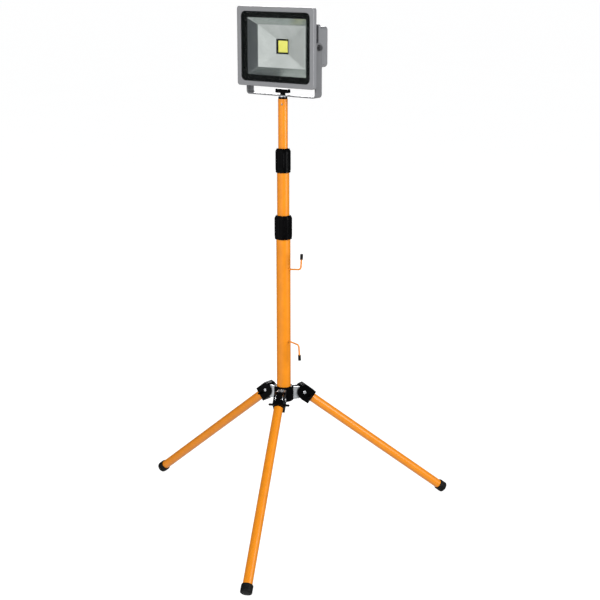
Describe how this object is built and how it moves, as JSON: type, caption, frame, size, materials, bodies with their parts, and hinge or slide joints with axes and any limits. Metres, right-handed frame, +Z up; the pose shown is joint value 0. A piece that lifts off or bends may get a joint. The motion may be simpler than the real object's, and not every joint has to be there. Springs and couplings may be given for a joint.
{
  "type": "tripod work light",
  "caption": "LED floodlight in a tilting yoke on a telescopic twist-lock mast with a folding tripod and cable hooks.",
  "frame": {"origin": "mast axis at the level the feet stand on", "axes": "+Z up along the mast, lamp faces -Y when panned to the middle, +X along the tilt axis"},
  "size_m": [0.7092, 0.782, 1.249],
  "materials": {
    "orange_powder_coat": "gloss powder coat",
    "black_moulding": "fine moulded grain",
    "black_rubber": "matt",
    "zinc_plate": "bright zinc plate",
    "screw_steel": "dark zinc",
    "spring_steel": "plain",
    "grey_casting": "satin powder coat",
    "yoke_paint": "satin powder coat",
    "bright_reflector": "anodised bright sheet",
    "clear_glass": "tempered, clear",
    "led_phosphor": "silicone phosphor",
    "led_board_white": "white solder mask",
    "seal_rubber": "silicone",
    "driver_resin": "potting resin",
    "slide_plastic": "natural acetal"
  },
  "bodies": {
    "stand": {"lower_tube": "orange_powder_coat", "hub_collar": "black_moulding", "leg_bracket_front": "zinc_plate", "leg_bracket_right": "zinc_plate", "leg_bracket_left": "zinc_plate", "pivot_pins": "zinc_plate", "bracket_screws": "screw_steel", "upper_hook": "orange_powder_coat", "lower_hook": "orange_powder_coat", "hook_caps": "black_rubber", "lower_lock_base": "black_moulding", "lower_collet": "slide_plastic"},
    "lower_sleeve": {"lower_lock_sleeve": "black_moulding"},
    "middle_mast": {"middle_tube": "orange_powder_coat", "middle_guide_bush": "slide_plastic", "upper_lock_base": "black_moulding", "upper_collet": "slide_plastic"},
    "upper_sleeve": {"upper_lock_sleeve": "black_moulding"},
    "top_mast": {"upper_tube": "orange_powder_coat", "upper_guide_bush": "slide_plastic", "top_plug": "black_moulding", "clamp_nut": "zinc_plate", "plug_rivet": "screw_steel"},
    "clamp": {"clamp_knob": "black_moulding", "clamp_stud": "zinc_plate"},
    "yoke": {"yoke": "yoke_paint", "yoke_washer": "zinc_plate"},
    "head": {"front_bezel": "grey_casting", "front_glass": "clear_glass", "glass_gasket": "seal_rubber", "reflector": "bright_reflector", "led_board": "led_board_white", "led_emitter": "led_phosphor", "led_screws": "screw_steel", "housing": "grey_casting", "bezel_screws": "screw_steel", "tilt_bolts": "screw_steel", "tilt_washers": "screw_steel", "driver_base": "grey_casting", "driver_gasket": "seal_rubber", "driver_cover": "grey_casting", "driver_screws": "screw_steel", "driver_unit": "driver_resin", "cable_gland": "black_moulding", "gland_nut": "black_moulding"},
    "leg_front": {"leg_tube_front": "orange_powder_coat", "leg_socket_front": "black_moulding", "foot_cap_front": "black_rubber", "lock_spring_front": "spring_steel"},
    "lock_front": {"lock_bar_front": "black_moulding"},
    "leg_right": {"leg_tube_right": "orange_powder_coat", "leg_socket_right": "black_moulding", "foot_cap_right": "black_rubber", "lock_spring_right": "spring_steel"},
    "lock_right": {"lock_bar_right": "black_moulding"},
    "leg_left": {"leg_tube_left": "orange_powder_coat", "leg_socket_left": "black_moulding", "foot_cap_left": "black_rubber", "lock_spring_left": "spring_steel"},
    "lock_left": {"lock_bar_left": "black_moulding"}
  },
  "joints": [
    {"name": "middle_mast_slide", "type": "slide", "parent": "stand", "child": "middle_mast", "axis": [0, 0, 1], "range_m": [-0.1, 0.28]},
    {"name": "top_mast_slide", "type": "slide", "parent": "middle_mast", "child": "top_mast", "axis": [0, 0, 1], "range_m": [-0.095, 0.3]},
    {"name": "lower_lock_twist", "type": "hinge", "parent": "stand", "child": "lower_sleeve", "pos_m": [0, 0, 0.735], "axis": [0, 0, 1], "range_deg": [0, 90]},
    {"name": "upper_lock_twist", "type": "hinge", "parent": "middle_mast", "child": "upper_sleeve", "pos_m": [0, 0, 0.895], "axis": [0, 0, 1], "range_deg": [0, 90]},
    {"name": "clamp_knob_turn", "type": "hinge", "parent": "top_mast", "child": "clamp", "pos_m": [0, 0, 1.05], "axis": [0, 0, 1], "range_deg": [0, 360]},
    {"name": "head_pan", "type": "hinge", "parent": "top_mast", "child": "yoke", "pos_m": [0, 0, 1.047], "axis": [0, 0, 1], "range_deg": [-180, 180]},
    {"name": "head_tilt", "type": "hinge", "parent": "yoke", "child": "head", "pos_m": [0, 0.003, 1.16], "axis": [1, 0, 0], "range_deg": [-170, 5]},
    {"name": "leg_fold_front", "type": "hinge", "parent": "stand", "child": "leg_front", "pos_m": [0.02147, -0.0446, 0.3225], "axis": [-0.9011, -0.4337, 0], "range_deg": [0, 128.65]},
    {"name": "lock_bar_pull_front", "type": "slide", "parent": "leg_front", "child": "lock_front", "axis": [0.3387, -0.7037, -0.6246], "range_m": [0, 0.0042], "stiffness_N_per_m": 1500, "springref_m": -0.004, "deforming": ["lock_spring_front"]},
    {"name": "leg_fold_right", "type": "hinge", "parent": "stand", "child": "leg_right", "pos_m": [0.02789, 0.04089, 0.3225], "axis": [0.8261, -0.5635, 0], "range_deg": [0, 128.65]},
    {"name": "lock_bar_pull_right", "type": "slide", "parent": "leg_right", "child": "lock_right", "axis": [0.4401, 0.6452, -0.6246], "range_m": [0, 0.0042], "stiffness_N_per_m": 1500, "springref_m": -0.004, "deforming": ["lock_spring_right"]},
    {"name": "leg_fold_left", "type": "hinge", "parent": "stand", "child": "leg_left", "pos_m": [-0.04936, 0.00371, 0.3225], "axis": [0.075, 0.9972, 0], "range_deg": [0, 128.65]},
    {"name": "lock_bar_pull_left", "type": "slide", "parent": "leg_left", "child": "lock_left", "axis": [-0.7788, 0.0586, -0.6246], "range_m": [0, 0.0042], "stiffness_N_per_m": 1500, "springref_m": -0.004, "deforming": ["lock_spring_left"]}
  ]
}
